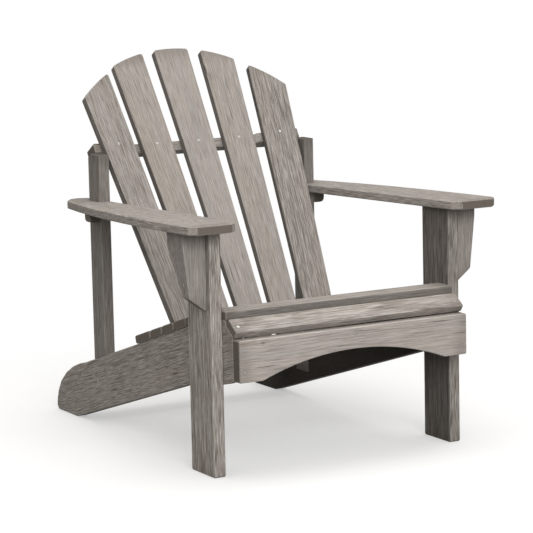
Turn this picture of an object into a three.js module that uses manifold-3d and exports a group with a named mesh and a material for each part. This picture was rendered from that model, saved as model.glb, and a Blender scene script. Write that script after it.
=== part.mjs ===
// Adirondack chair: side rails, front legs and apron, seat slats, five fanned back slats,
// rear posts, paddle arms, and the screws that show.
// Millimetres, +Z up, floor at z = 0, the chair faces -Y and mirrors about the plane x = 0.
// Drawing datum: y = 0 is the front face of the front legs; the finished chair is moved at
// the end so that the middle of its depth stands on the origin.
import * as THREE from 'three'
import Module from 'manifold-3d'

// ---- shared sizes -------------------------------------------------------------------
const GAP = 0.3             // clearance left between pieces that touch
const EASE = 1.6            // rounding of the end edges of every board
const CORNER = 2.6          // rounding of the corners of an outline, larger than EASE
const HALF_WIDTH = 290      // centre line to the outer face of the side rails

// front legs
const LEG_THICK = 28
const LEG_DEPTH = 105

// seat; widths and spaces of the slats are measured level, front to back
const SLAT_THICK = 19
const SLAT_WIDTH = 52
const SLAT_SPACE = 6.6
const SLAT_OVERHANG = 4     // how far the rear slats pass the rails
const SEAT_HEIGHT = 345     // top of the side rails under the level slat
const SEAT_SLOPE = 0.308    // fall of the seat toward the back
const CREST_FRONT = -16     // front and rear edges of the level slat
const CREST_REAR = 41
const NOSE_TILT = THREE.MathUtils.degToRad(35)   // the slat over the apron
const NOSE_WIDTH = 44
const NOSE_EDGE = [-61.6, SEAT_HEIGHT - 20]      // (y, z) of its upper front corner

// apron
const APRON_FRONT = -72
const APRON_THICK = 28
const APRON_HEIGHT = 91.7
const APRON_SPACE = 1.2     // below the front slat
const ARCH_HALF = 232
const ARCH_RISE = 44.5

// side rails, drawn as a (y, z) outline
const RAIL_THICK = 26
const RAIL_FRONT_LOW = SEAT_HEIGHT - 106.4       // lower edge carried on to the front end
const TOE_REAR = 8          // end of the deeper part behind the apron, hidden by the leg
const TAIL_REAR = 870
const FOOT_LENGTH = 113     // flat part that stands on the floor
// curve of the tail: distance from its rear end, share of the height where the curve starts
const TAIL_CURVE = [[2, 0.18], [10, 0.34], [28, 0.53], [58, 0.7], [96, 0.84], [136, 0.94], [172, 1]]

// back, drawn in its own plane: s runs up the slats, n runs backward through them
const RECLINE = THREE.MathUtils.degToRad(32.5)
const BACK_THICK = 20
const BACK_BOTTOM = -88
const BACK_TOP = 683
const FAN_RADIUS = 376
const HOLLOW = 17           // how far the three middle slats stand behind the outer two
const WING = THREE.MathUtils.degToRad(6.5)       // turn of the outer two toward the sitter
const WING_LINE = 245       // x of the line on their front faces that they are turned about
// one half of the fan: inner and outer edge at s = 0 and how fast each one spreads with s
const FAN = [
  { inner: [-34, -0.0171], outer: [34, 0.0171], behind: HOLLOW, turn: 0 },
  { inner: [56, 0.0342], outer: [124, 0.062], behind: HOLLOW, turn: 0 },
  { inner: [142, 0.0768], outer: [214, 0.1045], behind: 0, turn: WING },
]
const LOWER_RAIL_WIDTH = 76
const UPPER_RAIL = { low: 429, high: 453, deep: 42, inset: 13 }

// rear posts, halved onto the side rails
const POST_THICK = 26
const POST_AHEAD = 45.3     // in front of the lower edge of the upper back rail
const POST_DEPTH = 60
const LAP_DEPTH = 13
const LAP_EDGE = 20         // rail left below the halving

// rear stretcher
const STRETCHER = { wide: 70, thick: 26, tilt: THREE.MathUtils.degToRad(-40), reach: 137 }

// arms: the underside falls gently toward the back
const ARM_THICK = 20
const ARM_EASE = 2.5
const ARM_LOW = SEAT_HEIGHT + 193.2
const ARM_FALL = 0.03
const ARM_FRONT = -60
const ARM_TAIL = 75         // past the rear posts
const ARM_OUT = 100         // past the side rails at the widest
const ARM_TAPER = 70        // lost from that toward the tail
const ARM_IN = 28           // inside the face of the side rails at the posts

// brackets and cleats under the arms
const BRACKET_FRONT = 14
const BRACKET_DEPTH = 74
const BRACKET_OUT = 56
const BRACKET_HEIGHT = 176
const CLEAT = 28

// screws
const SCREW_SIDES = 12
const HEAD_RADIUS = 3.3
const SHANK_RADIUS = 2
const RECESS = 3.8          // span of the cross in the head
const HOLE_PLAY = 0.35

const wasm = await Module()
wasm.setup()

const WOOD = { color: 0xa49b92, roughness: 0.82, metalness: 0 }
const STEEL = { color: 0xc9c9c6, roughness: 0.35, metalness: 1 }

// ---- outlines -----------------------------------------------------------------------
// Replaces every corner [u, v, radius] by a short arc; the default radius is CORNER.
function eased(corners, radius = CORNER, steps = 1) {
  const out = []
  corners.forEach((corner, i) => {
    const here = new THREE.Vector2(corner[0], corner[1])
    const before = corners[(i + corners.length - 1) % corners.length]
    const after = corners[(i + 1) % corners.length]
    const a = new THREE.Vector2(before[0], before[1]).sub(here)
    const b = new THREE.Vector2(after[0], after[1]).sub(here)
    const r = corner[2] ?? radius
    const turn = a.angleTo(b)
    if (r <= 0 || Math.PI - turn < 0.12) {
      out.push(here)
      return
    }
    const reach = Math.min(r / Math.tan(turn / 2), a.length() * 0.45, b.length() * 0.45)
    const p = here.clone().add(a.setLength(reach))
    const q = here.clone().add(b.setLength(reach))
    const n = r > 6 ? 4 : steps
    for (let k = 0; k <= n; k++) {
      const t = k / n
      out.push(p.clone().multiplyScalar((1 - t) ** 2)
        .add(here.clone().multiplyScalar(2 * t * (1 - t)))
        .add(q.clone().multiplyScalar(t * t)))
    }
  })
  return out
}

// Extrudes an outline between two planes with its end edges eased. The outline is (y, z)
// for axis x, (x, z) for axis y and (x, y) for axis z.
function board(outline, axis, from, to, ease = EASE) {
  const shape = new THREE.Shape(outline)
  const geometry = new THREE.ExtrudeGeometry(shape, {
    depth: to - from - 2 * ease,
    curveSegments: 1,
    bevelEnabled: ease > 0,
    bevelThickness: ease,
    bevelSize: ease,
    bevelOffset: -ease,
    bevelSegments: 1,
  })
  const v = (x, y, z) => new THREE.Vector3(x, y, z)
  const place = new THREE.Matrix4()
  if (axis === 'x') place.makeBasis(v(0, 1, 0), v(0, 0, 1), v(1, 0, 0)).setPosition(from + ease, 0, 0)
  if (axis === 'y') place.makeBasis(v(1, 0, 0), v(0, 0, 1), v(0, -1, 0)).setPosition(0, to - ease, 0)
  if (axis === 'z') place.setPosition(0, 0, from + ease)
  return solid(geometry.applyMatrix4(place))
}

// A plain cutter: the (y, z) outline between two planes of x.
function prism(outline, from, to) {
  return board(outline.map((p) => new THREE.Vector2(...p)), 'x', from, to, 0)
}

// ---- solids -------------------------------------------------------------------------
// Welds a geometry into a closed solid the boolean kernel can take.
function solid(geometry) {
  const pos = geometry.getAttribute('position')
  const index = geometry.getIndex()
  const ids = new Map()
  const verts = []
  const tris = []
  const weld = (i) => {
    const p = [pos.getX(i), pos.getY(i), pos.getZ(i)]
    const key = p.map((c) => Math.round(c * 2000)).join()
    if (!ids.has(key)) {
      ids.set(key, verts.length / 3)
      verts.push(...p)
    }
    return ids.get(key)
  }
  const count = index ? index.count : pos.count
  for (let i = 0; i < count; i += 3) {
    const [a, b, c] = [0, 1, 2].map((k) => weld(index ? index.getX(i + k) : i + k))
    if (a !== b && b !== c && c !== a) tris.push(a, b, c)
  }
  return new wasm.Manifold(new wasm.Mesh({
    numProp: 3,
    vertProperties: new Float32Array(verts),
    triVerts: new Uint32Array(tris),
  }))
}

function toGeometry(body) {
  const mesh = body.getMesh()
  const geometry = new THREE.BufferGeometry()
  geometry.setAttribute('position', new THREE.BufferAttribute(mesh.vertProperties, 3))
  geometry.setIndex(new THREE.BufferAttribute(mesh.triVerts, 1))
  const flat = geometry.toNonIndexed()
  flat.computeVertexNormals()
  return flat
}

function box(x0, x1, y0, y1, z0, z1) {
  const geometry = new THREE.BoxGeometry(x1 - x0, y1 - y0, z1 - z0)
  return solid(geometry.translate((x0 + x1) / 2, (y0 + y1) / 2, (z0 + z1) / 2))
}

// ---- screws and their holes ---------------------------------------------------------
// Both are turned about an axis that starts at the head's face and runs inward along dir.
function turned(profile, at, dir, segments) {
  const geometry = new THREE.LatheGeometry(profile.map(([r, h]) => new THREE.Vector2(r, h)), segments)
  const spin = new THREE.Quaternion().setFromUnitVectors(new THREE.Vector3(0, 1, 0), dir)
  geometry.applyQuaternion(spin).translate(at.x, at.y, at.z)
  return solid(geometry)
}

function screwBody(at, dir, length) {
  const body = turned([[0, length], [SHANK_RADIUS, length - 5], [SHANK_RADIUS, 3],
    [HEAD_RADIUS, 0.6], [HEAD_RADIUS, 0.1], [0, 0]].reverse(), at, dir, SCREW_SIDES)
  const side = Math.abs(dir.z) > 0.7 ? new THREE.Vector3(1, 0, 0) : new THREE.Vector3(0, 0, 1)
  const frame = new THREE.Matrix4().lookAt(new THREE.Vector3(), dir, side).setPosition(at)
  const slot = (w, h) => solid(new THREE.BoxGeometry(w, h, 2.4).applyMatrix4(frame))
  return body.subtract(slot(RECESS, 0.9).add(slot(0.9, RECESS)))
}

function screwHole(at, dir, length) {
  const r = SHANK_RADIUS + HOLE_PLAY
  const head = HEAD_RADIUS + HOLE_PLAY
  return turned([[0, -4], [head, -4], [head, 0.7], [r, 3.2], [r, length + 1], [0, length + 1]],
    at, dir, SCREW_SIDES)
}

// ---- the pieces, as solids by name --------------------------------------------------
const pieces = new Map()
const screws = new Map()

const add = (name, body) => pieces.set(name, body)

// A piece drawn for the right-hand side (+X) is added again, mirrored, for the left.
function addPair(name, body) {
  add(`${name}_right`, body)
  add(`${name}_left`, body.mirror([1, 0, 0]))
}

// Drills the named pieces and puts a screw in the hole.
function fasten(name, at, dir, length, targets) {
  const hole = screwHole(at, dir, length)
  targets.forEach((target) => pieces.set(target, pieces.get(target).subtract(hole)))
  screws.set(name, screwBody(at, dir, length))
}

// The same screw on both sides; "%" in a name stands for the side.
function fastenPair(name, at, dir, length, targets) {
  for (const [side, sign] of [['right', 1], ['left', -1]]) {
    const p = new THREE.Vector3(sign * at[0], at[1], at[2])
    const d = new THREE.Vector3(sign * dir[0], dir[1], dir[2])
    fasten(`${name}_${side}`, p, d, length, targets.map((t) => t.replace('%', side)))
  }
}

// The back: where it starts behind the seat slats, its frame, and the posts that hold it.
const slatFront = (n) => CREST_REAR + SLAT_SPACE + (SLAT_WIDTH + SLAT_SPACE) * (n - 3)
const backOrigin = [slatFront(8) + 44.1, SEAT_HEIGHT - 45]
const backPoint = (x, s, n) => new THREE.Vector3(x,
  backOrigin[0] + s * Math.sin(RECLINE) + n * Math.cos(RECLINE),
  backOrigin[1] + s * Math.cos(RECLINE) - n * Math.sin(RECLINE))
const forward = new THREE.Vector3(0, -Math.cos(RECLINE), Math.sin(RECLINE))
const upward = new THREE.Vector3(0, Math.sin(RECLINE), Math.cos(RECLINE))
const sideward = new THREE.Vector3(1, 0, 0)
const backFrame = (n) => new THREE.Matrix4().makeBasis(sideward, upward, forward)
  .setPosition(backPoint(0, 0, n))
// The frame of one slat: its front face lies at z = BACK_THICK.
const slatFrame = ({ behind, turn }) => backFrame(BACK_THICK + behind)
  .multiply(new THREE.Matrix4().makeTranslation(WING_LINE, 0, BACK_THICK))
  .multiply(new THREE.Matrix4().makeRotationY(-turn))
  .multiply(new THREE.Matrix4().makeTranslation(-WING_LINE, 0, -BACK_THICK))
const fanEdge = ([base, spread], s) => base + spread * s
const railNear = BACK_THICK + GAP
const seatNear = backPoint(0, UPPER_RAIL.low, railNear)
const postFront = seatNear.y - POST_AHEAD
const postRear = postFront + POST_DEPTH

const railFront = APRON_FRONT + APRON_THICK + GAP
const footFront = TAIL_REAR - FOOT_LENGTH
const tailStart = TAIL_REAR - TAIL_CURVE.at(-1)[0]

// Line the sloping slats lie on, lower edge of the side rails, underside of the arms.
const seatLine = (y) => SEAT_HEIGHT - SEAT_SLOPE * (y - CREST_REAR)
const railLow = (y) => RAIL_FRONT_LOW * (footFront - y) / (footFront - railFront)
const toeLow = (y) => railLow(y) - (RAIL_FRONT_LOW - apronBottom)
const armLow = (y) => ARM_LOW - ARM_FALL * y

// The tilted front slat: lower front corner, lower rear corner, and the line between them.
const noseFoot = [NOSE_EDGE[0] + SLAT_THICK * Math.sin(NOSE_TILT),
  NOSE_EDGE[1] - SLAT_THICK * Math.cos(NOSE_TILT)]
const noseHeel = noseFoot[0] + NOSE_WIDTH * Math.cos(NOSE_TILT)
const noseLow = (y) => noseFoot[1] + (y - noseFoot[0]) * Math.tan(NOSE_TILT)

const apronTop = noseFoot[1] - APRON_SPACE
const apronBottom = apronTop - APRON_HEIGHT

// Side rails: straight lower edge rising from the foot to a deeper toe as low as the apron,
// seat line on top, rounded tail.
const tailTop = seatLine(tailStart)
const stepY = noseHeel + 1.3
const railOutline = [
  [railFront, toeLow(railFront)],
  [TOE_REAR, toeLow(TOE_REAR), 5],
  [TOE_REAR + 12, railLow(TOE_REAR + 12), 5],
  [footFront, 0, 14],
  [TAIL_REAR - 8, 0, 4],
  [TAIL_REAR, 10, 4],
  ...TAIL_CURVE.map(([back, share]) => [TAIL_REAR - back, share * tailTop, 0]),
  [CREST_REAR, SEAT_HEIGHT - GAP, 0],
  [stepY, SEAT_HEIGHT - GAP],
  [stepY, noseLow(stepY) - GAP, 0],
  [railFront, noseLow(railFront) - GAP],
]
const lapBottom = railLow(postFront) + LAP_EDGE
const lapRecess = box(HALF_WIDTH - RAIL_THICK - 1, HALF_WIDTH - LAP_DEPTH,
  postFront - GAP, postRear + GAP, lapBottom - GAP, SEAT_HEIGHT)
addPair('side_rail', board(eased(railOutline), 'x', HALF_WIDTH - RAIL_THICK, HALF_WIDTH)
  .subtract(lapRecess))

// Front legs: wide face sideways, tops cut to the slope of the arms.
const legX = HALF_WIDTH + GAP
const legOut = legX + LEG_THICK
addPair('front_leg', board(eased([
  [0, 0], [LEG_DEPTH, 0], [LEG_DEPTH, armLow(LEG_DEPTH) - GAP, 0], [0, armLow(0) - GAP, 0],
]), 'x', legX, legOut))

// Apron with its arch.
const archRadius = (ARCH_HALF ** 2 + ARCH_RISE ** 2) / (2 * ARCH_RISE)
const archSteps = 24
const arch = []
for (let k = 0; k <= archSteps; k++) {
  const x = ARCH_HALF * (2 * k / archSteps - 1)
  const z = apronBottom + ARCH_RISE - archRadius + Math.sqrt(archRadius ** 2 - x ** 2)
  arch.push([x, z, k % archSteps === 0 ? 5 : 0])
}
add('front_apron', board(eased([
  [-HALF_WIDTH, apronTop], [-HALF_WIDTH, apronBottom], ...arch,
  [HALF_WIDTH, apronBottom], [HALF_WIDTH, apronTop],
]), 'y', APRON_FRONT, APRON_FRONT + APRON_THICK))

// Seat slats. A slat is a rectangle in (y, z) hung from its lower front corner and turned.
function slat(name, y, z, width, tilt, half) {
  const along = [Math.cos(tilt), -Math.sin(tilt)]
  const up = [Math.sin(tilt), Math.cos(tilt)]
  const corner = (a, b) => [y + a * along[0] + b * up[0], z + a * along[1] + b * up[1]]
  const outline = [corner(0, 0), corner(width, 0), corner(width, SLAT_THICK), corner(0, SLAT_THICK)]
  add(name, board(eased(outline, 4, 2), 'x', -half, half))
}
const seatTilt = Math.atan(SEAT_SLOPE)
const betweenLegs = HALF_WIDTH - GAP
const overRails = HALF_WIDTH + SLAT_OVERHANG
slat('seat_slat_1', ...noseFoot, NOSE_WIDTH, -NOSE_TILT, HALF_WIDTH)
slat('seat_slat_2', CREST_FRONT, SEAT_HEIGHT, CREST_REAR - CREST_FRONT, 0, betweenLegs)
for (let n = 3; n <= 7; n++) {
  const y = slatFront(n)
  slat(`seat_slat_${n}`, y, seatLine(y), SLAT_WIDTH / Math.cos(seatTilt), seatTilt,
    y < LEG_DEPTH + GAP ? betweenLegs : overRails)
}

// The backs of the slats at height s, as (x, n) from -reach to reach, with a step between
// the second slat and the outermost on each side, and the frame such outlines are drawn in.
function bearing(s, reach) {
  const [second, outermost] = [fanEdge(FAN[1].outer, s), fanEdge(FAN[2].inner, s)]
  const wing = (x) => (railNear + (WING_LINE - x) * Math.sin(WING)) / Math.cos(WING)
  const half = [[second * 0.7 + outermost * 0.3, railNear + HOLLOW],
    ...[second * 0.3 + outermost * 0.7, reach].map((x) => [x, wing(x)])]
  return [...half.map(([x, n]) => [-x, n]).reverse(), ...half]
}
const acrossBack = new THREE.Matrix4().makeBasis(sideward, forward.clone().negate(), upward)
  .setPosition(backPoint(0, 0, 0))
const screwRow = (UPPER_RAIL.low + UPPER_RAIL.high) / 2

// Lower back rail: lies on the side rails behind the last slat, cut away along its front
// edge so the back slats pass through.
slat('lower_back_rail', slatFront(8), seatLine(slatFront(8)), LOWER_RAIL_WIDTH, seatTilt, overRails)
const notchHalf = FAN[2].outer[0] + 4
const notchOutline = [...bearing(-35, notchHalf), [notchHalf, -80], [-notchHalf, -80]]
const notch = board(notchOutline.map((p) => new THREE.Vector2(...p)), 'z', -140, 60, 0)
add('lower_back_rail', pieces.get('lower_back_rail').subtract(notch.transform(acrossBack.elements)))

// Back slats: straight tapering boards whose tops are cut to one arc. Those that stand
// further back are longer, so that the arc reads level from the front.
function backSlat(name, line, mirrored) {
  const { inner, outer } = line
  const top = BACK_TOP + line.behind * Math.tan(RECLINE)
  const arc = (x) => top - FAN_RADIUS + Math.sqrt(FAN_RADIUS ** 2 - x ** 2)
  const meet = (side) => {
    let s = top
    for (let k = 0; k < 20; k++) s = arc(fanEdge(side, s))
    return [fanEdge(side, s), s, 7]
  }
  const [right, left] = [meet(outer), meet(inner)]
  const outline = [[fanEdge(inner, BACK_BOTTOM), BACK_BOTTOM],
    [fanEdge(outer, BACK_BOTTOM), BACK_BOTTOM], right]
  for (let k = 1; k <= 4; k++) {
    const x = right[0] + (left[0] - right[0]) * k / 5
    outline.push([x, arc(x), 0])
  }
  outline.push(left)
  const flat = board(eased(outline), 'z', 0, BACK_THICK).transform(slatFrame(line).elements)
  add(name, mirrored ? flat.mirror([1, 0, 0]) : flat)
}
const fanOrder = [[3, 0, false], [2, 1, true], [4, 1, false], [1, 2, true], [5, 2, false]]
for (const [n, line, mirrored] of fanOrder) backSlat(`back_slat_${n}`, FAN[line], mirrored)

// Upper back rail, square to the slats, its front edge sawn to their backs.
const railFar = railNear + UPPER_RAIL.deep
const upperHalf = HALF_WIDTH - UPPER_RAIL.inset
const upperOutline = [...bearing(screwRow, upperHalf), [upperHalf, railFar], [-upperHalf, railFar]]
add('upper_back_rail', board(eased(upperOutline), 'z', UPPER_RAIL.low, UPPER_RAIL.high)
  .transform(acrossBack.elements))

// Rear posts: outer half cut away beside the side rails, tops cut under the back rail.
const railUnder = (y) => seatNear.z - (y - seatNear.y) * Math.tan(RECLINE) - GAP
const post = board(eased([
  [postFront, lapBottom], [postRear, lapBottom], [postRear, railUnder(postRear), 0],
  [seatNear.y, railUnder(seatNear.y), 0], [postFront, railUnder(seatNear.y), 0],
]), 'x', HALF_WIDTH - POST_THICK, HALF_WIDTH)
const besideRail = prism([
  [postFront - 5, 0], [postRear + 5, 0],
  [postRear + 5, seatLine(postRear + 5) + GAP], [postFront - 5, seatLine(postFront - 5) + GAP],
], HALF_WIDTH - LAP_DEPTH - GAP, HALF_WIDTH + 1)
addPair('rear_post', post.subtract(besideRail))

// Arms: paddles widening to the front, notched round the rear posts.
const armEnd = postRear + ARM_TAIL
const armShare = (y) => (y - ARM_FRONT) / (armEnd - ARM_FRONT)
const armOuter = (y) => HALF_WIDTH + ARM_OUT - ARM_TAPER * armShare(y) ** 2.5
const armInner = (y) => HALF_WIDTH - ARM_IN + 15 * (1 - Math.sqrt(armShare(y)))
const armSteps = 7
const outerEdge = []
const innerEdge = []
for (let k = 0; k <= armSteps; k++) {
  const y = ARM_FRONT + 20 + (postRear + 43 - ARM_FRONT - 20) * k / armSteps
  const back = postFront - GAP + (ARM_FRONT + 20 - postFront + GAP) * k / armSteps
  outerEdge.push([armOuter(y), y, k === 0 ? 5 : 0])
  innerEdge.push([armInner(back), back, 4])
}
const notchX = HALF_WIDTH + GAP
const notchIn = armInner(postFront)
const armOutline = [
  [HALF_WIDTH + 4, ARM_FRONT, 5], [HALF_WIDTH + ARM_OUT - 17, ARM_FRONT, 5], ...outerEdge,
  [HALF_WIDTH + 18, armEnd - 6, 12], [HALF_WIDTH - 8, armEnd, 12], [notchIn, armEnd - 18, 12],
  [notchIn, postRear + GAP, 4], [notchX, postRear + GAP, 0], [notchX, postFront - GAP, 0],
  ...innerEdge,
]
const armSlope = [1, 0, 0, 0, 0, 1, -ARM_FALL, 0, 0, 0, 1, 0, 0, 0, ARM_LOW, 1]
addPair('arm', board(eased(armOutline), 'z', 0, ARM_THICK, ARM_EASE).transform(armSlope))

// Everything above the arms' underside, to trim what stands under them.
const aboveArms = prism([[-200, 2000], [-200, armLow(-200) - GAP], [1200, armLow(1200) - GAP],
  [1200, 2000]], HALF_WIDTH - 50, HALF_WIDTH + 200)

// Arm brackets: outside the front legs, tapering down and inward.
const bracketX = legOut + GAP
const bracketTop = armLow(BRACKET_FRONT)
const bracketOut = bracketX + BRACKET_OUT
const bracketLow = bracketTop - BRACKET_HEIGHT
const bracketFace = board(eased([
  [bracketX, bracketLow], [bracketOut - 14, bracketLow + 32, 6], [bracketOut - 1, bracketTop - 26, 20],
  [bracketOut, bracketTop + 10], [bracketX, bracketTop + 10],
]), 'y', BRACKET_FRONT, BRACKET_FRONT + BRACKET_DEPTH)
const bracketSide = board(eased([
  [BRACKET_FRONT, bracketLow - 20], [BRACKET_FRONT + 16, bracketLow - 20],
  [BRACKET_FRONT + 30, bracketLow + 32, 8], [BRACKET_FRONT + BRACKET_DEPTH, bracketTop - 38, 20],
  [BRACKET_FRONT + BRACKET_DEPTH, bracketTop + 10], [BRACKET_FRONT, bracketTop + 10],
]), 'x', bracketX - 5, bracketOut + 20, 0)
addPair('arm_bracket', bracketFace.intersect(bracketSide).subtract(aboveArms))

// Arm cleats: small blocks outside the rear posts, under the arms.
const cleatX = HALF_WIDTH + GAP
const cleatLow = armLow(postFront) - GAP - CLEAT
addPair('arm_cleat', board(eased([
  [cleatX, cleatLow], [cleatX + CLEAT, cleatLow, 12],
  [cleatX + CLEAT, cleatLow + CLEAT + 5], [cleatX, cleatLow + CLEAT + 5],
]), 'y', postFront, postFront + CLEAT).subtract(aboveArms))

// Rear stretcher between the side rails, tilted with the tail.
const stretcherAt = new THREE.Vector2(TAIL_REAR - STRETCHER.reach, 0.685 * tailTop)
const stretcherSection = [[-0.5, -0.5], [0.5, -0.5], [0.5, 0.5], [-0.5, 0.5]].map(([a, b]) =>
  new THREE.Vector2(a * STRETCHER.wide, b * STRETCHER.thick)
    .rotateAround(new THREE.Vector2(), STRETCHER.tilt).add(stretcherAt))
const inside = HALF_WIDTH - RAIL_THICK - GAP
add('rear_stretcher', board(eased(stretcherSection.map((p) => [p.x, p.y])), 'x', -inside, inside))

// ---- screws -------------------------------------------------------------------------
for (const [n, line, mirrored] of fanOrder) {
  const x = (fanEdge(FAN[line].inner, screwRow) + fanEdge(FAN[line].outer, screwRow)) / 2
  const at = new THREE.Vector3(x, screwRow, BACK_THICK).applyMatrix4(slatFrame(FAN[line]))
  const dir = new THREE.Vector3(0, 0, -1).transformDirection(slatFrame(FAN[line]))
  const flip = new THREE.Vector3(mirrored ? -1 : 1, 1, 1)
  fasten(`back_screw_${n}`, at.multiply(flip), dir.multiply(flip), 42,
    [`back_slat_${n}`, 'upper_back_rail'])
}
const railMid = HALF_WIDTH - RAIL_THICK / 2
const rearward = [0, 1, 0]
const sideways = [-1, 0, 0]
const apronLength = APRON_THICK + 27
fastenPair('apron_screw_upper', [railMid, APRON_FRONT, apronTop - 21], rearward, apronLength,
  ['front_apron', 'side_rail_%'])
fastenPair('apron_screw_lower', [railMid, APRON_FRONT, apronTop - 68], rearward, apronLength,
  ['front_apron', 'side_rail_%'])
fasten('apron_screw_middle', new THREE.Vector3(0, APRON_FRONT, apronTop - 15),
  new THREE.Vector3(...rearward), APRON_THICK - 6, ['front_apron'])
const noseReach = 0.42 * NOSE_WIDTH
fastenPair('seat_screw_1', [railMid, NOSE_EDGE[0] + noseReach * Math.cos(NOSE_TILT),
  NOSE_EDGE[1] + noseReach * Math.sin(NOSE_TILT)], [0, Math.sin(NOSE_TILT), -Math.cos(NOSE_TILT)],
SLAT_THICK + 21, ['seat_slat_1', 'side_rail_%'])
fastenPair('seat_screw_2', [railMid, 10, SEAT_HEIGHT + SLAT_THICK], [0, 0, -1], SLAT_THICK + 23,
  ['seat_slat_2', 'side_rail_%'])
const legLength = LEG_THICK + 20
fastenPair('leg_screw_upper', [legOut, 56, SEAT_HEIGHT - 34], sideways, legLength,
  ['front_leg_%', 'side_rail_%'])
fastenPair('leg_screw_lower', [legOut, 78, SEAT_HEIGHT - 94], sideways, legLength,
  ['front_leg_%', 'side_rail_%'])
fastenPair('bracket_screw', [bracketOut - 10.7, BRACKET_FRONT + 20, bracketLow + 62], sideways,
  BRACKET_OUT + 12, ['arm_bracket_%', 'front_leg_%'])
const postLength = RAIL_THICK - 3
fastenPair('post_screw_upper', [HALF_WIDTH, postFront + 17, seatLine(postFront) - 37], sideways,
  postLength, ['side_rail_%', 'rear_post_%'])
fastenPair('post_screw_lower', [HALF_WIDTH, postFront + 45, seatLine(postFront) - 69], sideways,
  postLength, ['side_rail_%', 'rear_post_%'])
for (const [level, side] of [['upper', -17], ['lower', 17]]) {
  const at = new THREE.Vector2(side, 0).rotateAround(new THREE.Vector2(), STRETCHER.tilt).add(stretcherAt)
  fastenPair(`stretcher_screw_${level}`, [HALF_WIDTH, at.x, at.y], sideways, RAIL_THICK + 34,
    ['side_rail_%', 'rear_stretcher'])
}

// ---- the chair ----------------------------------------------------------------------
const group = new THREE.Group()
group.name = 'adirondack_chair'
group.position.y = -(APRON_FRONT + TAIL_REAR) / 2
function place(name, body, look) {
  const mesh = new THREE.Mesh(toGeometry(body), new THREE.MeshStandardMaterial(look))
  mesh.name = name
  group.add(mesh)
}
for (const [name, body] of pieces) place(name, body, WOOD)
for (const [name, body] of screws) place(name, body, STEEL)

export default group
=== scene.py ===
"""Weathered adirondack chair.

The boards are the solids of the frame, and every board gets a wood material of its own, its
growth rings and its fibre laid along that board. Metres, +Z up, the chair faces -Y.
"""
import math

import bpy
import numpy as np
from mathutils import Matrix, Vector

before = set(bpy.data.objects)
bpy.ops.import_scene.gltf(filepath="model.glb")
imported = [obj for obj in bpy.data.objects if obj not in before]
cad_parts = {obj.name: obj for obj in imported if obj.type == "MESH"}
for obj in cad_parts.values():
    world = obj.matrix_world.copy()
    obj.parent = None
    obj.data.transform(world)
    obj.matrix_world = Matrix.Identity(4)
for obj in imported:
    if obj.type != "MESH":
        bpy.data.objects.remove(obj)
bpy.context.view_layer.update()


# ======================================================================================
# Side rails. Two long planks on edge, sawn from softwood and left outdoors without a
# finish, so they have gone silver grey; each runs from the apron down to a rounded tail
# that stands on the floor. The wood material, used by every board, is defined here.
# ======================================================================================
class Socket:
    """A shader output with arithmetic: an expression on sockets adds its Math nodes."""

    def __init__(self, graph, link):
        self.graph, self.link = graph, link

    def _math(self, operation, *others):
        return self.graph.node("ShaderNodeMath", {"operation": operation}, self, *others)

    def __add__(self, other):
        return self._math("ADD", other)

    def __sub__(self, other):
        return self._math("SUBTRACT", other)

    def __mul__(self, other):
        return self._math("MULTIPLY", other)

    def __truediv__(self, other):
        return self._math("DIVIDE", other)

    def __rsub__(self, other):
        return self.graph.node("ShaderNodeMath", {"operation": "SUBTRACT"}, other, self)

    def call(self, operation, *others):
        return self._math(operation.upper(), *others)

    def dot(self, axis):
        return self.graph.node("ShaderNodeVectorMath", {"operation": "DOT_PRODUCT"},
                               self, tuple(axis), out="Value")

    def ramp(self, low, high, to_low=0.0, to_high=1.0):
        """Smooth step of the value from low to high, onto to_low to to_high."""
        return self.graph.node("ShaderNodeMapRange", {"interpolation_type": "SMOOTHSTEP"},
                               self, low, high, to_low, to_high)


class Graph:
    """One material's nodes, made from Python."""

    def __init__(self, name):
        self.material = bpy.data.materials.new(name)
        self.material.use_nodes = True
        self.tree = self.material.node_tree
        self.tree.nodes.clear()

    def node(self, kind, settings=None, *values, out=0, **named):
        """Adds a node: settings first, then the values or links of its sockets in order."""
        new = self.tree.nodes.new(kind)
        for key, value in (settings or {}).items():
            setattr(new, key, value)
        if kind == "ShaderNodeMix":
            shown = [s for s in new.inputs if s.enabled]
            result = [s for s in new.outputs if s.enabled][0]
        else:
            shown = list(new.inputs)
            result = new.outputs[out] if new.outputs else None
        by_name = [(new.inputs[key], value) for key, value in named.items()]
        for socket, value in list(zip(shown, values)) + by_name:
            if isinstance(value, Socket):
                self.tree.links.new(value.link, socket)
            elif value is not None:
                socket.default_value = value
        return Socket(self, result) if result else new

    def mix(self, factor, first, second, blend="MIX"):
        """Mixes two colours."""
        settings = {"data_type": "RGBA", "blend_type": blend}
        return self.node("ShaderNodeMix", settings, factor, first, second)

    def noise(self, x, y, z, detail=2.0, rough=0.5, seed=0.0):
        """Smooth noise from 0 to 1 at the place (x, y, z)."""
        place = self.node("ShaderNodeCombineXYZ", None, x + seed, y, z)
        return self.node("ShaderNodeTexNoise", None, Vector=place, Scale=1.0, Detail=detail,
                         Roughness=rough)

    def surface(self, color, rough, normal=None, **fixed):
        """Ends the graph in a Principled shader."""
        values = {key.replace("_", " "): value for key, value in fixed.items()}
        values |= {"Base Color": color, "Roughness": rough}
        shader = self.node("ShaderNodeBsdfPrincipled", None, **values)
        if normal:
            self.tree.links.new(normal.link, shader.link.node.inputs["Normal"])
        self.node("ShaderNodeOutputMaterial", None, shader)
        return self.material


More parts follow.
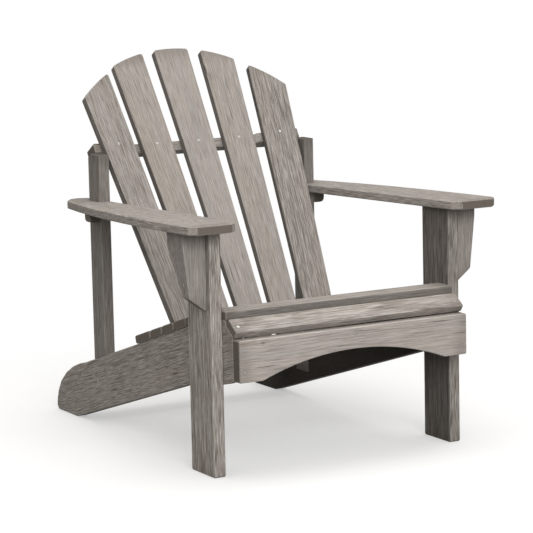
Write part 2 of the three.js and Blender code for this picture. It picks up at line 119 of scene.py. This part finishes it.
PALE = (0.402, 0.363, 0.333, 1.0)      # sunned early wood
SILVER = (0.328, 0.306, 0.291, 1.0)    # greyed wood
TAN = (0.330, 0.268, 0.212, 1.0)       # where the sun has not yet drawn the colour out
BROWN = (0.128, 0.108, 0.088, 1.0)     # late wood, dark fibre and dirt
CHECK = (0.045, 0.037, 0.030, 1.0)     # the inside of cracks
PAINTED_SHADE = (0.022, 0.017, 0.013, 1.0)      # painted shade, for faces turned away from the light
RUBBED = (0.60, 0.57, 0.53, 1.0)       # raised fibre and worn corners, bleached
KNOT = (0.098, 0.076, 0.058, 1.0)      # the heart of a knot
RING = 0.0036                          # thickness of one year's growth
draw = np.random.default_rng(41)


def board_frame(node, along, across):
    """The board's unit axes (length, width, thickness) and its lowest and highest place on each."""
    along = Vector(along).normalized()
    across = Vector(across)
    across = (across - across.dot(along) * along).normalized()
    axes = np.array([along, across, along.cross(across)])
    spots = np.array([v.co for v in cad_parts[node].data.vertices]) @ axes.T
    return axes, spots.min(axis=0), spots.max(axis=0)


def cover(node, material):
    """Gives a piece its material."""
    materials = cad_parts[node].data.materials
    materials.clear()
    materials.append(material)


def weather(node, along, across, tone=1.0, warm=0.5, figure=1.0, grit=1.0, knots=(),
            painted_shade_side=None, edges=0.0):
    """Covers one board with weathered softwood.

    Growth rings are circles about a pith that lies outside the board and drifts along it, so
    they show as long arches on the faces and as arcs on the ends. Fibre is noise drawn out
    forty to fifty-five times along the board. Knots push the rings aside: (place along,
    place across, radius), the places as shares of the board. painted_shade_side is (direction,
    amount): the faces turned that way are painted dark, a painted shade; edges is the same
    amount of painted shade for the two narrow edges. tone is brightness, warm the share of tan
    against silver, figure the strength of the rings and grit that of the dark fibre.
    """
    axes, low, high = board_frame(node, along, across)
    g = Graph("wood_" + node)
    spot = g.node("ShaderNodeTexCoord", out=3)
    u, v, w = (spot.dot(axis) - float(base) for axis, base in zip(axes, low))
    length, width, _ = high - low
    seed = float(draw.uniform(3.0, 60.0))

    # place across the board, bent where knots push the rings aside
    knot_core = None
    bent = v
    for share_along, share_across, radius in knots:
        du = (u - share_along * length) * 0.62
        dv = v - share_across * width
        away = (du * du + dv * dv).call("sqrt")
        core = away.ramp(radius, 0.55 * radius)
        knot_core = core if knot_core is None else knot_core.call("maximum", core)
        bent = bent - dv * away.ramp(4.5 * radius, 0.6 * radius) * 0.62

    # growth rings
    sway = g.noise(u * 2.1, v * 3.0, w * 3.0, detail=1.0, seed=seed) - 0.5
    pith = float(draw.uniform(-0.35, 1.35)) * width
    depth = float(draw.uniform(0.09, 0.17))
    drift = float(draw.uniform(-0.022, 0.022))
    side = bent - pith + sway * 0.022
    below = w + depth + u * drift + sway * 0.012
    ripple = g.noise(u * 9.0, bent * 70.0, w * 70.0, detail=1.0, seed=seed) - 0.5
    year = (side * side + below * below).call("sqrt") / RING + ripple * 0.9
    late = year.call("fract").ramp(0.30, 0.92) * year.call("fract").ramp(1.0, 0.93)
    boldness = g.noise(u * 1.6, v * 14.0, w * 14.0, detail=1.0, seed=seed + 7.0)
    boldness = boldness.ramp(0.35, 0.7, 0.25, 1.0)

    # fibre, drying cracks, and dirt near the ends
    coarse = g.noise(u * 7.0, bent * 380.0, w * 380.0, detail=3.0, rough=0.70, seed=seed + 11.0)
    fine = g.noise(u * 24.0, bent * 980.0, w * 980.0, detail=2.0, rough=0.65, seed=seed + 19.0)
    crack = g.noise(u * 11.0, bent * 330.0, w * 90.0, detail=1.0, rough=0.5, seed=seed + 23.0)
    patch = g.noise(u * 5.0, v * 11.0, w * 11.0, detail=1.0, seed=seed + 29.0)
    crack = crack.ramp(0.675, 0.735) * patch.ramp(0.42, 0.62)
    cloud = g.noise(u * 3.4, v * 13.0, w * 13.0, detail=3.0, rough=0.6, seed=seed + 31.0)
    band = g.noise(u * 1.3, bent * 42.0, w * 42.0, detail=2.0, rough=0.55, seed=seed + 37.0)
    from_end = u.call("minimum", float(length) - u)
    stain = (from_end + (cloud - 0.5) * 0.06).ramp(0.042, 0.004)

    # which way the surface faces: ends, narrow edges, wide faces, and the round of the corners
    facing = g.node("ShaderNodeTexCoord", out=1)
    to_end, to_edge, to_face = (facing.dot(axis).call("absolute") for axis in axes)
    end_grain = to_end.ramp(0.62, 0.9)
    worn = to_end.call("maximum", to_edge).call("maximum", to_face).ramp(0.97, 0.80)

    # colour
    greyed = cloud.ramp(0.34, 0.66) * 0.5 + band.ramp(0.38, 0.62) * 0.5
    base = g.mix(greyed * (1.0 - 0.5 * warm), PALE, SILVER)
    base = g.mix(band.ramp(0.55, 0.34) * (0.30 * warm), base, TAN)
    rings = late * boldness * (0.30 * figure)
    color = g.mix(rings + coarse.ramp(0.46, 0.66) * (0.52 * grit), base, BROWN)
    color = g.mix(fine.ramp(0.46, 0.64) * (0.55 * grit), color, BROWN)
    color = g.mix(fine.ramp(0.48, 0.34) * (0.30 * grit) + worn * 0.20, color, RUBBED)
    color = g.mix(stain * 0.34 + end_grain * 0.60, color, BROWN)
    color = g.mix(crack * 0.80, color, CHECK)
    if knot_core:
        color = g.mix(knot_core * 0.5, color, KNOT)
    color = g.mix(1.0, color, (tone, tone, tone, 1.0), "MULTIPLY")
    # painted shade: faces turned toward painted_shade_side, and the narrow edges, are darkened
    # toward PAINTED_SHADE
    if painted_shade_side:
        color = g.mix(facing.dot(painted_shade_side[0]).ramp(0.45, 0.85) * painted_shade_side[1], color, PAINTED_SHADE)
    if edges:
        color = g.mix(to_edge.ramp(0.60, 0.92) * edges, color, PAINTED_SHADE)

    height = fine * 0.00022 + coarse * 0.00042 - late * boldness * 0.00026 - crack * 0.0010
    bump = g.node("ShaderNodeBump", None, Strength=0.75, Distance=1.0, Height=height)
    rough = 0.93 - late * 0.10 - fine * 0.06
    cover(node, g.surface(color, rough, bump, Specular_IOR_Level=0.28))


RAIL_FALL = 0.298                      # fall of the grain toward the tail, per metre
INWARD = {"left": (1, 0, 0), "right": (-1, 0, 0)}
SHADE = {"left": 1.0, "right": 0.80}   # painted shade: the right side is painted darker
# Each rail's inward face is painted dark as painted shade, and the right rail is painted darker all
# over, also painted shade.
for side in ("left", "right"):
    weather(f"side_rail_{side}", (0, 1, -RAIL_FALL), (0, RAIL_FALL, 1), tone=0.96 * SHADE[side],
            warm=0.35, grit=1.6, painted_shade_side=(INWARD[side], 0.92))

# ======================================================================================
# Front legs. Short upright planks screwed to the outside of the rails.
# ======================================================================================
# Each leg's inward face is painted dark as painted shade, and the right leg is painted darker all
# over as painted shade.
for side in ("left", "right"):
    weather(f"front_leg_{side}", (0, 0, 1), (0, 1, 0), tone=1.03 * SHADE[side], warm=0.4,
            grit=1.9, painted_shade_side=(INWARD[side], 0.55))

# ======================================================================================
# Apron. One board across the front ends of the rails, its lower edge sawn to an arch.
# ======================================================================================
# The left end of the apron is painted dark as painted shade.
weather("front_apron", (1, 0, 0), (0, 0, 1), tone=1.09, warm=0.45, figure=0.5, grit=0.65,
        painted_shade_side=((-1, 0, 0), 0.35), knots=[(0.10, 0.90, 0.004)])

# ======================================================================================
# Seat slats. Narrow boards with rounded edges; the first is tilted over the apron, the
# second is level and the rest follow the slope of the seat. The first shows its grain most.
# ======================================================================================
NOSE_ACROSS = (0, 0.819, 0.574)
SEAT_ACROSS = (0, 0.956, -0.294)
# The narrow front and back sides of every seat slat are painted dark as painted shade, those of the
# second slat most.
weather("seat_slat_1", (1, 0, 0), NOSE_ACROSS, tone=1.03, warm=0.35, figure=1.6, grit=1.25,
        edges=0.15)
weather("seat_slat_2", (1, 0, 0), (0, 1, 0), tone=0.96, warm=0.35, grit=0.9, edges=0.48)
for number in range(3, 8):
    weather(f"seat_slat_{number}", (1, 0, 0), SEAT_ACROSS, tone=0.96, warm=0.35, grit=0.9,
            edges=0.15)

# ======================================================================================
# Lower back rail. A wider board behind the seat slats, notched for the back slats.
# ======================================================================================
weather("lower_back_rail", (1, 0, 0), SEAT_ACROSS, tone=0.95)

# ======================================================================================
# Back slats. Five tapering boards spread like a fan, their tops sawn to one arc. Each
# leans sideways by its spread, and the second and fourth are the warmest in colour.
# ======================================================================================
RECLINE = math.radians(32.5)
UP_BACK = Vector((0, math.sin(RECLINE), math.cos(RECLINE)))
SPREAD = {1: -0.086, 2: -0.048, 3: 0.0, 4: 0.048, 5: 0.086}
BACK_TONE = {1: 0.87, 2: 0.87, 3: 0.88, 4: 0.88, 5: 0.83}
BACK_WARM = {1: 0.45, 2: 1.00, 3: 0.40, 4: 1.00, 5: 0.40}
BACK_FIGURE = {1: 1.00, 2: 0.40, 3: 0.40, 4: 0.40, 5: 1.00}
BACK_GRIT = {1: 1.25, 2: 0.90, 3: 0.75, 4: 0.90, 5: 1.45}
# The narrow sides of the back slats are painted dark as painted shade.
for number, spread in SPREAD.items():
    weather(f"back_slat_{number}", UP_BACK + Vector((spread, 0, 0)), (1, 0, 0),
            tone=BACK_TONE[number], warm=BACK_WARM[number], figure=BACK_FIGURE[number],
            grit=BACK_GRIT[number], edges=0.42)

# ======================================================================================
# Upper back rail. A batten behind the back slats and square to them, its ends carried by
# the posts.
# ======================================================================================
weather("upper_back_rail", (1, 0, 0), (0, math.cos(RECLINE), -math.sin(RECLINE)), tone=0.86)

# ======================================================================================
# Rear posts. Upright battens halved onto the rails.
# ======================================================================================
for side in ("left", "right"):
    weather(f"rear_post_{side}", (0, 0, 1), (0, 1, 0), tone=0.64, warm=0.3)

# ======================================================================================
# Arms. Flat paddles, wide at the front, notched round the posts, with their brackets
# outside the front legs and a small cleat under each at the post.
# ======================================================================================
ARM_FALL = 0.03
for side in ("left", "right"):
    weather(f"arm_{side}", (0, 1, -ARM_FALL), (1, 0, 0), tone=0.98, warm=0.45, figure=0.7,
            grit=1.3)
    weather(f"arm_bracket_{side}", (0, 0, 1), (0, 1, 0), tone=0.86)
    weather(f"arm_cleat_{side}", (0, 1, 0), (1, 0, 0), tone=0.8)

# ======================================================================================
# Rear stretcher. A batten between the tails of the rails, tilted with them.
# ======================================================================================
STRETCHER_ACROSS = (0, 0.766, -0.643)
weather("rear_stretcher", (1, 0, 0), STRETCHER_ACROSS, tone=0.85)

# ======================================================================================
# Screws. Countersunk steel with a cross recess, set level with the wood and dulled in
# small spots by the weather.
# ======================================================================================
STEEL = (0.74, 0.74, 0.72, 1.0)
DULLED = (0.50, 0.49, 0.47, 1.0)
SPOTS = 900.0    # fineness of the dull spots
g = Graph("screw_steel")
grain = g.node("ShaderNodeTexNoise", None, Vector=g.node("ShaderNodeTexCoord", out=3),
               Scale=SPOTS, Detail=2.0)
tint = g.mix(grain.ramp(0.35, 0.7), STEEL, DULLED)
steel = g.surface(tint, grain * 0.25 + 0.36, Metallic=1.0)
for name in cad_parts:
    if "screw" in name:
        cover(name, steel)

# ======================================================================================
# Floor, light and camera. A white floor that runs out of sight, a white surround, and
# broad soft lamps. None of it is part of the chair.
# ======================================================================================
WHITE = (1.0, 1.0, 1.0, 1.0)
PAPER = (0.90, 0.90, 0.90, 1.0)
PAPER_BOUNCE = (0.34, 0.34, 0.34, 1.0)
SURROUND = (0.71, 0.69, 0.66, 1.0)
LAMP_COLOR = (0.98, 0.99, 1.0)
FLOOR_REACH = 30.0
FLOOR_HEIGHT = -0.0006    # just clear of the rails and legs that stand on it
FADE_NEAR, FADE_FAR = 0.62, 1.35    # the glow takes over between these distances

floor_mesh = bpy.data.meshes.new("floor")
corners = [(x * FLOOR_REACH, y * FLOOR_REACH, FLOOR_HEIGHT)
           for x, y in ((-1, -1), (1, -1), (1, 1), (-1, 1))]
floor_mesh.from_pydata(corners, [], [(0, 1, 2, 3)])
floor = bpy.data.objects.new("floor", floor_mesh)
bpy.context.scene.collection.objects.link(floor)
# White paper near the chair, fading into its own glow further out so no horizon shows; what
# it throws back at the chair is dimmer than what is seen.
g = Graph("floor_paint")
place = g.node("ShaderNodeTexCoord", out=3)
across, back = place.dot((1, 0, 0)), place.dot((0, 1, 0))
away = (across * across + back * back).call("sqrt")
seen = g.node("ShaderNodeLightPath")
paper = g.node("ShaderNodeBsdfDiffuse", None, g.mix(seen, PAPER_BOUNCE, PAPER))
glow = g.node("ShaderNodeEmission", None, WHITE, seen * 0.75 + 0.25)
share = away.ramp(FADE_NEAR, FADE_FAR, 0.40, 1.0)
g.node("ShaderNodeOutputMaterial", None, g.node("ShaderNodeMixShader", None, share, paper, glow))
floor.data.materials.append(g.material)

# The surround looks white and lights the chair a little less, and warmer.
world = bpy.data.worlds.new("surround")
world.use_nodes = True
sky = world.node_tree
path = sky.nodes.new("ShaderNodeLightPath")
tint = sky.nodes.new("ShaderNodeMix")
tint.data_type = "RGBA"
tint.inputs["A"].default_value = SURROUND
tint.inputs["B"].default_value = WHITE
sky.links.new(path.outputs["Is Camera Ray"], tint.inputs["Factor"])
sky.links.new(tint.outputs["Result"], sky.nodes["Background"].inputs["Color"])
bpy.context.scene.world = world
bpy.context.scene.view_settings.view_transform = "Standard"


def softbox(name, place, size, power, toward=(0.0, 0.0, 0.35)):
    """A square soft lamp at place, facing toward."""
    lamp = bpy.data.lights.new(name, "AREA")
    lamp.shape = "SQUARE"
    lamp.size = size
    lamp.energy = power
    lamp.color = LAMP_COLOR
    holder = bpy.data.objects.new(name, lamp)
    holder.location = place
    holder.rotation_euler = (Vector(toward) - Vector(place)).to_track_quat("-Z", "Y").to_euler()
    bpy.context.scene.collection.objects.link(holder)


softbox("key", (-1.3, -4.2, 2.1), 2.2, 126.0)
softbox("top", (0.2, -0.2, 4.2), 3.0, 76.0)

# The camera stands in front of the chair, on the side of its left arm, and looks down a little.
YAW, PITCH, ROLL = math.radians(29.32), math.radians(-8.73), math.radians(-1.29)
SENSOR_WIDTH, FOCAL_LENGTH = 36.0, 167.1
CAMERA_PLACE = (-2.7624, -4.9996, 1.2602)
look = Vector((math.sin(YAW) * math.cos(PITCH), math.cos(YAW) * math.cos(PITCH), math.sin(PITCH)))
level = Vector((math.cos(YAW), -math.sin(YAW), 0.0))
right = math.cos(ROLL) * level + math.sin(ROLL) * level.cross(look)
up = right.cross(look)
lens = bpy.data.cameras.new("camera")
lens.sensor_width, lens.lens = SENSOR_WIDTH, FOCAL_LENGTH
camera = bpy.data.objects.new("camera", lens)
bpy.context.scene.collection.objects.link(camera)
turn = np.eye(4)
turn[:3, 0], turn[:3, 1], turn[:3, 2] = right, up, -look
turn[:3, 3] = CAMERA_PLACE
camera.matrix_world = Matrix([list(row) for row in turn])
bpy.context.scene.camera = camera
